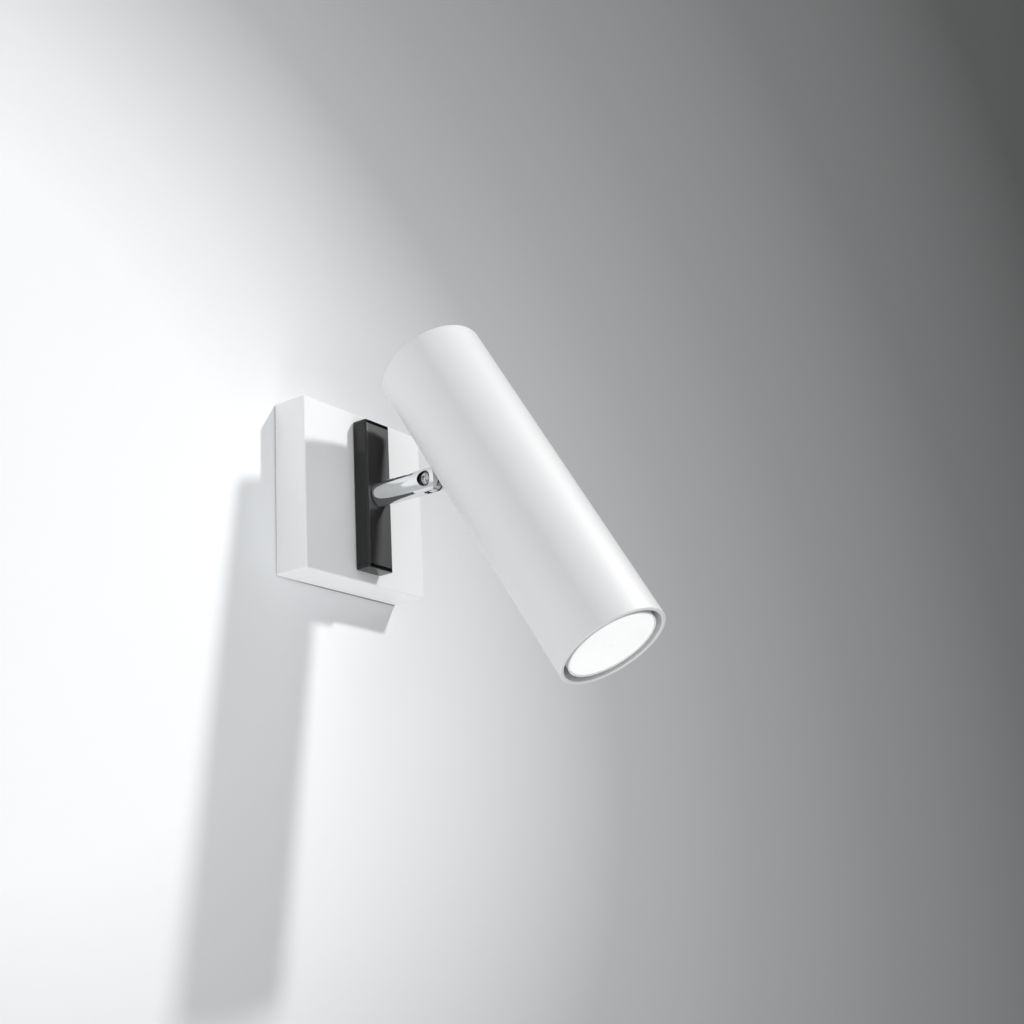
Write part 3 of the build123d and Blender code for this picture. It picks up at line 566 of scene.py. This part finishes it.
def shape_with(piece, tree, values):
    """Puts the tree on a piece and sets its inputs by their identifiers."""
    modifier = piece.modifiers.new(tree.name, "NODES")
    modifier.node_group = tree
    keys = {item.name: item.identifier for item in tree.interface.items_tree
            if item.in_out == "INPUT"}
    for title, value in values.items():
        modifier[keys[title]] = value


def as_plain_mesh(piece, smooth_angle):
    """Evaluates the piece's modifiers, keeps the result as its mesh and takes them off."""
    piece.update_tag()
    bpy.context.view_layer.update()
    evaluated = piece.evaluated_get(bpy.context.evaluated_depsgraph_get())
    piece.data = bpy.data.meshes.new_from_object(evaluated)
    piece.modifiers.clear()
    piece.data.shade_smooth()
    piece.data.set_sharp_from_angle(angle=radians(smooth_angle))


print("shape helpers ready")


# %% Tree: a plain rod becomes a threaded one
ROD_OVER, ROD_UNDER = 1.03, 0.9         # the rod's points are between these shares of its radius
ROD_START = -0.05 * MM                  # and not above the head's underside
TURN_STEPS, RIDGE_SIDES = 14, 4


def thinned_rod(tree, inside):
    """Moves the rod's own points inwards, down to the thread's core."""
    place = add(tree, "GeometryNodeInputPosition")
    along, radius = inside.outputs["Along"], inside.outputs["Radius"]
    offset = vector_maths(tree, "SUBTRACT", place.outputs["Position"], inside.outputs["Foot"])
    down = vector_maths(tree, "DOT_PRODUCT", offset, along, "Value")
    out = vector_maths(tree, "SUBTRACT", offset, vector_maths(tree, "SCALE", along, down))
    reach = vector_maths(tree, "LENGTH", out, result="Value")
    near = maths(tree, "LESS_THAN", reach, maths(tree, "MULTIPLY", radius, ROD_OVER))
    far = maths(tree, "GREATER_THAN", reach, maths(tree, "MULTIPLY", radius, ROD_UNDER))
    after = maths(tree, "GREATER_THAN", down, ROD_START)
    chosen = maths(tree, "MULTIPLY", maths(tree, "MULTIPLY", near, far), after)
    inward = maths(tree, "MULTIPLY", inside.outputs["Depth"], -1.0)
    shift = vector_maths(tree, "SCALE", vector_maths(tree, "NORMALIZE", out), inward)
    core = add(tree, "GeometryNodeSetPosition")
    join(tree, inside.outputs["Geometry"], core.inputs["Geometry"])
    join(tree, chosen, core.inputs["Selection"])
    join(tree, shift, core.inputs["Offset"])
    return core.outputs["Geometry"]


def wound_ridge(tree, inside):
    """Diamond section swept along a helix, half sunk in the core."""
    depth, pitch, along = (inside.outputs[title] for title in ("Depth", "Pitch", "Along"))
    wound = maths(tree, "SUBTRACT", inside.outputs["Radius"], depth)
    high = maths(tree, "SUBTRACT", inside.outputs["Length"], pitch)
    helix = add(tree, "GeometryNodeCurveSpiral", {"Resolution": TURN_STEPS})
    join(tree, maths(tree, "DIVIDE", high, pitch), helix.inputs["Rotations"])
    join(tree, high, helix.inputs["Height"])
    for end in ("Start Radius", "End Radius"):
        join(tree, wound, helix.inputs[end])
    upright = add(tree, "GeometryNodeSetCurveNormal", mode="Z_UP")
    join(tree, helix.outputs["Curve"], upright.inputs["Curve"])
    section = add(tree, "GeometryNodeCurvePrimitiveCircle", {"Resolution": RIDGE_SIDES},
                  mode="RADIUS")
    join(tree, depth, section.inputs["Radius"])
    swept = add(tree, "GeometryNodeCurveToMesh", {"Fill Caps": True})
    join(tree, upright.outputs["Curve"], swept.inputs["Curve"])
    join(tree, section.outputs["Curve"], swept.inputs["Profile Curve"])
    start = vector_maths(tree, "ADD", inside.outputs["Foot"],
                         vector_maths(tree, "SCALE", along, depth))
    return stood_along(tree, swept.outputs["Mesh"], start, along)


def make_thread_tree():
    tree, inside, outside = shape_group("threaded_rod", {
        "Foot": "Vector", "Along": "Vector", "Radius": "Float", "Depth": "Float",
        "Pitch": "Float", "Length": "Float", "Material": "Material"})
    both = add(tree, "GeometryNodeJoinGeometry")
    join(tree, thinned_rod(tree, inside), both.inputs["Geometry"])
    join(tree, wound_ridge(tree, inside), both.inputs["Geometry"])
    close_tree(tree, both.outputs["Geometry"], inside, outside)
    return tree


thread_tree = make_thread_tree()
print("thread tree has", len(thread_tree.nodes), "nodes")


# %% Helpers that copy a node and thread its screws
THREAD_DEPTH = 0.6                      # share of the pitch
THREAD_SHARP = 28                       # degrees between faces from which an edge looks sharp


def bare_copy(node, name):
    """Copy of a node's mesh with its doubled points merged and nothing but its shape."""
    source = nodes[node].data
    piece = mesh_object(name, [v.co for v in source.vertices],
                        [f.vertices for f in source.polygons])
    work = bmesh.new()
    work.from_mesh(piece.data)
    bmesh.ops.remove_doubles(work, verts=work.verts, dist=SAME_POINT)
    work.to_mesh(piece.data)
    work.free()
    return piece


def threaded(node, body, size, finish, screws):
    """Replaces a node of screws with threaded ones; each screw is a foot, a way and a length."""
    piece = bare_copy(node, "threaded_" + node)
    radius, pitch = size
    depth = THREAD_DEPTH * pitch
    for foot, way, length in screws:
        shape_with(piece, thread_tree, {
            "Foot": tuple(foot), "Along": tuple(way), "Radius": radius, "Depth": depth,
            "Pitch": pitch, "Length": length - depth, "Material": finish})
    as_plain_mesh(piece, THREAD_SHARP)
    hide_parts(node)
    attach(piece, body)
    print(piece.name, "has", len(piece.data.polygons), "faces")


# %% Thread the screws
# where each rod leaves its head, and how far down it goes
BOX_SCREW_X, BOX_SCREW_Y, BOX_SCREW_DOWN = 26 * MM, -7 * MM, 6.2 * MM
BAR_SCREW_Y, BAR_SCREW_Z, BAR_SCREW_DOWN = -20.8 * MM, 28 * MM, 4.7 * MM
EARTH_FOOT, EARTH_DOWN = Vector((-30, -4.9, -22)) * MM, 4.4 * MM
HOLDER_SCREW_BACK, HOLDER_SCREW_SIDE, HOLDER_SCREW_DOWN = 50.7 * MM, 10 * MM, 19.5 * MM
M3, M4 = (1.5 * MM, 0.5 * MM), (2.0 * MM, 0.7 * MM)     # radius and pitch
DOWN, OUT, IN = Vector((0, 0, -1)), Vector((0, -1, 0)), Vector((0, 1, 0))

sideways = aim.cross(pin_axis)
threaded("canopy_screws", "root", M3, screw_plate,
         [(Vector((x, BOX_SCREW_Y, canopy_high.z)), DOWN, BOX_SCREW_DOWN)
          for x in (-BOX_SCREW_X, BOX_SCREW_X)])
threaded("bar_screws", "root", M3, screw_plate,
         [(Vector((0, BAR_SCREW_Y, z)), OUT, BAR_SCREW_DOWN)
          for z in (-BAR_SCREW_Z, BAR_SCREW_Z)])
threaded("earth_screw", "root", M4, brass_metal, [(EARTH_FOOT, IN, EARTH_DOWN)])
threaded("holder_screws", "head", M3, screw_plate,
         [(mouth - HOLDER_SCREW_BACK * aim + side * sideways, -aim, HOLDER_SCREW_DOWN)
          for side in (-HOLDER_SCREW_SIDE, HOLDER_SCREW_SIDE)])

# %% [markdown]
# ## Cooling ribs on the lamp
#
# A lamp like this carries its heat away through upright ribs round its bowl. They are the same rib
# many times round one axis, so a tree makes them: it gives one flat outline its thickness and
# repeats it in a ring. The outline's inner line is sunk in the bowl, so the ribs grow out of it.

# %% Tree: one rib repeated in a ring
def make_ring_tree():
    tree, inside, outside = shape_group("ring_of_ribs", {
        "Count": "Int", "Thickness": "Float", "Foot": "Vector", "Along": "Vector",
        "Material": "Material"})
    flat = inside.outputs["Geometry"]
    thick = add(tree, "GeometryNodeExtrudeMesh", {"Individual": False})
    join(tree, flat, thick.inputs["Mesh"])
    join(tree, inside.outputs["Thickness"], thick.inputs["Offset Scale"])
    back = add(tree, "GeometryNodeFlipFaces")
    join(tree, flat, back.inputs["Mesh"])
    rib = add(tree, "GeometryNodeJoinGeometry")
    join(tree, thick.outputs["Mesh"], rib.inputs["Geometry"])
    join(tree, back.outputs["Mesh"], rib.inputs["Geometry"])
    closed = add(tree, "GeometryNodeMergeByDistance", {"Distance": SAME_POINT})
    join(tree, rib.outputs["Geometry"], closed.inputs["Geometry"])
    spots = add(tree, "GeometryNodePoints")
    join(tree, inside.outputs["Count"], spots.inputs["Count"])
    number = add(tree, "GeometryNodeInputIndex")
    step = maths(tree, "DIVIDE", 2 * pi, inside.outputs["Count"])
    spin = add(tree, "ShaderNodeCombineXYZ")
    join(tree, maths(tree, "MULTIPLY", number.outputs["Index"], step), spin.inputs["Z"])
    ring = add(tree, "GeometryNodeInstanceOnPoints")
    join(tree, spots.outputs["Points"], ring.inputs["Points"])
    join(tree, closed.outputs["Geometry"], ring.inputs["Instance"])
    join(tree, spin.outputs["Vector"], ring.inputs["Rotation"])
    placed = stood_along(tree, ring.outputs["Instances"], inside.outputs["Foot"],
                         inside.outputs["Along"])
    close_tree(tree, placed, inside, outside)
    return tree


ring_tree = make_ring_tree()
print("ring tree has", len(ring_tree.nodes), "nodes")


# %% Ribs round the lamp's bowl
RIB_COUNT, RIB_THICK, RIB_SHARP = 24, 1.0 * MM, 30
LAMP_SET_BACK = 1.2 * MM
# distance from the lamp's axis and height behind its face, in mm
RIB_OUTLINE = ((24.6, 9.0), (24.2, 14.0), (23.0, 20.0), (21.0, 26.0), (18.6, 32.0), (16.6, 37.0),
               (15.0, 38.6), (14.2, 36.0), (15.0, 30.0), (18.2, 24.5), (21.6, 18.0), (23.6, 12.0))


def make_ribs():
    """Outline drawn in the plane of radius and height, half a thickness to one side.

    Its points run the way that makes its face look towards +Y, where the thickness goes."""
    side = -RIB_THICK / 2
    ribs = mesh_object("lamp_ribs", [(r * MM, side, z * MM) for r, z in reversed(RIB_OUTLINE)],
                       [tuple(range(len(RIB_OUTLINE)))])
    shape_with(ribs, ring_tree, {
        "Count": RIB_COUNT, "Thickness": RIB_THICK,
        "Foot": tuple(mouth - LAMP_SET_BACK * aim), "Along": tuple(-aim),
        "Material": lamp_moulding})
    as_plain_mesh(ribs, RIB_SHARP)
    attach(ribs, "lamp")
    return ribs


ribs = make_ribs()
print("ribs:", RIB_COUNT, "and", len(ribs.data.polygons), "faces")

# %% [markdown]
# ## Softened corners on the bar's end caps
#
# Moulded caps never have knife edges. Their small rounds catch the key light as bright dots and
# thin lines, which sharp corners can't do, so each cap is copied, its flat faces are made whole
# again and a Bevel modifier rounds its sharp edges.

# %% Round the edges of the end caps
CAP_ROUND, CAP_ROUND_STEPS = 0.45 * MM, 3
CAP_FLAT, CAP_EDGE, CAP_SHARP = 1, 40, 50       # degrees between faces


def softened(node, body, finish):
    """Replaces a node with a copy whose edges are rounded."""
    piece = bare_copy(node, "rounded_" + node)
    work = bmesh.new()
    work.from_mesh(piece.data)
    bmesh.ops.dissolve_limit(work, angle_limit=radians(CAP_FLAT), verts=work.verts,
                             edges=work.edges)
    work.to_mesh(piece.data)
    work.free()
    piece.data.materials.append(finish)
    rounding = piece.modifiers.new("rounding", "BEVEL")
    rounding.width, rounding.segments = CAP_ROUND, CAP_ROUND_STEPS
    rounding.limit_method, rounding.angle_limit = "ANGLE", radians(CAP_EDGE)
    as_plain_mesh(piece, CAP_SHARP)
    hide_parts(node)
    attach(piece, body)
    return piece


for end in ("bar_cap_top", "bar_cap_bottom"):
    cap = softened(end, "root", cap_black)
    print(cap.name, "has", len(cap.data.polygons), "faces")

# %% [markdown]
# ## The studio
#
# The light hangs on a pale wall above a pale floor. The photograph's wall is brightest low on the
# left and falls away to grey on the right and at the top, so that pool of light is painted into
# the wall's colour, which follows the distance from that bright place. It has an opening behind the
# box, where a real wall has its outlet, and a painted shadow: a thin dark line under the box's lower
# edge, where the box doesn't quite touch it.
# Seen from behind it is clear, so that the back of the light can be looked at.

# %% Wall and floor colours, with a painted pool of light and a painted shadow on the wall
# centre and spread of the pool of light that is painted into the wall's colour
BRIGHT_X, BRIGHT_Z = -0.298, -0.032
SPREAD_X, SPREAD_Z, SPREAD_TURN = 0.259, 0.169, 16.8
# distance from the bright place, in spreads, and the tone there, which paints the pool of light
PAINTED_LIGHT_FALL_OFF = ((0.0, 0.93), (0.6, 0.93), (1.0, 0.92), (1.4, 0.80), (1.8, 0.625), (2.3, 0.41),
            (3.0, 0.32), (4.0, 0.24), (6.0, 0.146), (9.8, 0.07))
WALL_TINT = (0.985, 0.995, 1.01)
# where the painted gap shadow starts and where it is full, out from the box's edge
GAP_SHADOW_BELOW, GAP_SHADOW_BEHIND = (-0.55 * MM, -0.35 * MM), (3.0 * MM, 2.0 * MM)
GAP_SHADOW_RIGHT = (0.1 * MM, -0.3 * MM)
# how dark the painted gap shadow gets, and its tone
GAP_SHADOW_STRENGTH, GAP_SHADOW_TONE = 0.6, (0.10, 0.10, 0.10)


def wall_finish_with_painted_light():
    """Matt paint whose tone follows the distance from the bright place, in stretched steps, which paints a pool of
    light on the wall.
    """
    made, tree, shader = new_finish("wall_paint_with_painted_light", (0.8, 0.8, 0.8), 0.9, Specular_IOR_Level=0.1)
    place = add(tree, "ShaderNodeTexCoord")
    frame_of_light_pool = add(tree, "ShaderNodeMapping", vector_type="TEXTURE")
    frame_of_light_pool.inputs["Location"].default_value = (BRIGHT_X, 0.0, BRIGHT_Z)
    frame_of_light_pool.inputs["Rotation"].default_value = (0.0, radians(SPREAD_TURN), 0.0)
    frame_of_light_pool.inputs["Scale"].default_value = (SPREAD_X, 1.0, SPREAD_Z)
    join(tree, place.outputs["Object"], frame_of_light_pool.inputs["Vector"])
    reach = vector_maths(tree, "LENGTH", frame_of_light_pool.outputs["Vector"], result="Value")
    farthest = PAINTED_LIGHT_FALL_OFF[-1][0]
    ramp = add(tree, "ShaderNodeValToRGB")
    stops = ramp.color_ramp.elements
    while len(stops) < len(PAINTED_LIGHT_FALL_OFF):
        stops.new(0.5)
    for stop, (distance, tone) in zip(stops, PAINTED_LIGHT_FALL_OFF):
        stop.position = distance / farthest
        stop.color = (*(tint * tone for tint in WALL_TINT), 1.0)
    join(tree, maths(tree, "DIVIDE", reach, farthest), ramp.inputs["Fac"])
    join(tree, ramp.outputs["Color"], shader.inputs["Base Color"])
    # paints the shadow in the gap under the box's lower edge into the wall's colour
    blend_colour(tree, shader, gap_shadow_mask(tree, place), GAP_SHADOW_TONE)
    see_through(tree, shader)
    return made


def gap_shadow_mask(tree, place):
    """Mask of the painted shadow in the thin gap under the box's lower edge, fainter towards its left end."""
    parts = add(tree, "ShaderNodeSeparateXYZ")
    join(tree, place.outputs["Object"], parts.inputs["Vector"])
    across, up = parts.outputs["X"], parts.outputs["Z"]
    low, left, right = canopy_low.z, canopy_low.x, canopy_high.x
    mask = ranged(tree, up, *(low + reach for reach in GAP_SHADOW_BELOW))
    for share in (ranged(tree, up, *(low + reach for reach in GAP_SHADOW_BEHIND)),
                  ranged(tree, across, left, left / 3, to_high=GAP_SHADOW_STRENGTH),
                  ranged(tree, across, *(right + reach for reach in GAP_SHADOW_RIGHT))):
        mask = maths(tree, "MULTIPLY", mask, share)
    return mask


def see_through(tree, shader):
    """Clear from behind: the back of the sheet lets every ray pass."""
    clear = add(tree, "ShaderNodeBsdfTransparent")
    side = add(tree, "ShaderNodeNewGeometry")
    mix = add(tree, "ShaderNodeMixShader")
    join(tree, side.outputs["Backfacing"], mix.inputs["Fac"])
    join(tree, shader.outputs["BSDF"], mix.inputs[1])
    join(tree, clear.outputs["BSDF"], mix.inputs[2])
    join(tree, mix.outputs["Shader"], tree.nodes["Material Output"].inputs["Surface"])


def floor_finish():
    made, tree, shader = new_finish("floor_paint", (0.78, 0.785, 0.79), 0.85,
                                    Specular_IOR_Level=0.1)
    see_through(tree, shader)
    return made


print("the wall fades over", len(PAINTED_LIGHT_FALL_OFF), "steps")


# %% Wall and floor
WALL_GAP = 0.0003
ROOM_HALF = 4.0
FLOOR_Z = -1.4
OPENING_INSET = 2 * MM                  # the opening's edge is this far inside the box's


def square(size):
    """Corners of a square of this half width, the same way round every time."""
    return [(-size, -size), (size, -size), (size, size), (-size, size)]


def sheet_with_hole(name, half, hole, y):
    """Upright square sheet that faces -Y, with a square opening round the origin."""
    return mesh_object(name, [(x, y, z) for x, z in square(hole) + square(half)],
                       [(4 + n, 4 + (n + 1) % 4, (n + 1) % 4, n) for n in range(4)])


wall = sheet_with_hole("wall", ROOM_HALF, canopy_high.x - OPENING_INSET, WALL_GAP)
wall.data.materials.append(wall_finish_with_painted_light())
floor = mesh_object("floor", [(x, y, FLOOR_Z) for x, y in square(ROOM_HALF)], [(0, 1, 2, 3)])
floor.data.materials.append(floor_finish())
print("wall faces", [round(v, 2) for v in wall.data.polygons[0].normal])

# %% [markdown]
# ## Light
#
# One soft lamp, high on the right and three metres away, throws the tube's long shadow down the
# wall. The rest of the light is the pale room itself, with a wide card of light below that stands
# for the bounce from the floor, and that mirrors and coats don't show. One corner of the room, on
# the right, is dark: it is what the black bar and the upper side of the chrome barrel mirror.

# %% Key light and room
KEY_TURN, KEY_HEIGHT, KEY_FAR = 26.0, 36.3, 3.0
KEY_SIZE, KEY_POWER = 0.25, 59.0
FILL_AT = Vector((-0.35, -0.40, -1.20))
FILL_SIZE, FILL_POWER = 0.9, 6.2
ROOM_LEVEL, DARK_LEVEL, SEEN_LEVEL = 0.83, 0.02, 0.9
ROOM_TINT = (0.985, 0.995, 1.0, 1.0)
DARK_CORNER = Vector((0.78, -0.55, 0.30)).normalized()
DARK_STARTS, DARK_FULL = 0.42, 0.78     # cosine of the angle from the dark corner


def soft_lamp(name, place, size, power):
    """Round lamp at a place, turned to face the object."""
    data = bpy.data.lights.new(name, "AREA")
    data.shape, data.size, data.energy = "DISK", size, power
    lamp = new_object(name, data)
    lamp.location = place
    lamp.rotation_mode = "QUATERNION"
    lamp.rotation_quaternion = (-place).to_track_quat("-Z", "Y")
    return lamp


def make_room():
    """Pale room with one dark corner, and an even backdrop where the camera sees past the wall."""
    world = bpy.data.worlds.new("room")
    world.use_nodes = True
    tree = world.node_tree
    paint = tree.nodes["Background"]
    place = add(tree, "ShaderNodeTexCoord")
    towards = vector_maths(tree, "DOT_PRODUCT", place.outputs["Generated"], DARK_CORNER, "Value")
    level = ranged(tree, towards, DARK_STARTS, DARK_FULL, ROOM_LEVEL, DARK_LEVEL,
                   interpolation_type="SMOOTHSTEP")
    path = add(tree, "ShaderNodeLightPath")
    shown = add(tree, "ShaderNodeMix", data_type="FLOAT")
    join(tree, path.outputs["Is Camera Ray"], shown.inputs["Factor"])
    join(tree, level, shown.inputs[2])
    shown.inputs[3].default_value = SEEN_LEVEL
    join(tree, shown.outputs[0], paint.inputs["Strength"])
    paint.inputs["Color"].default_value = ROOM_TINT
    bpy.context.scene.world = world


turn, height = radians(KEY_TURN), radians(KEY_HEIGHT)
key_way = Vector((sin(turn) * cos(height), -cos(turn) * cos(height), sin(height)))
key = soft_lamp("key", key_way * KEY_FAR, KEY_SIZE, KEY_POWER)
fill = soft_lamp("fill", FILL_AT, FILL_SIZE, FILL_POWER)
fill.visible_glossy = False
make_room()
bpy.context.scene.view_settings.view_transform = "Standard"
print("key light at", [round(v, 2) for v in key.location])
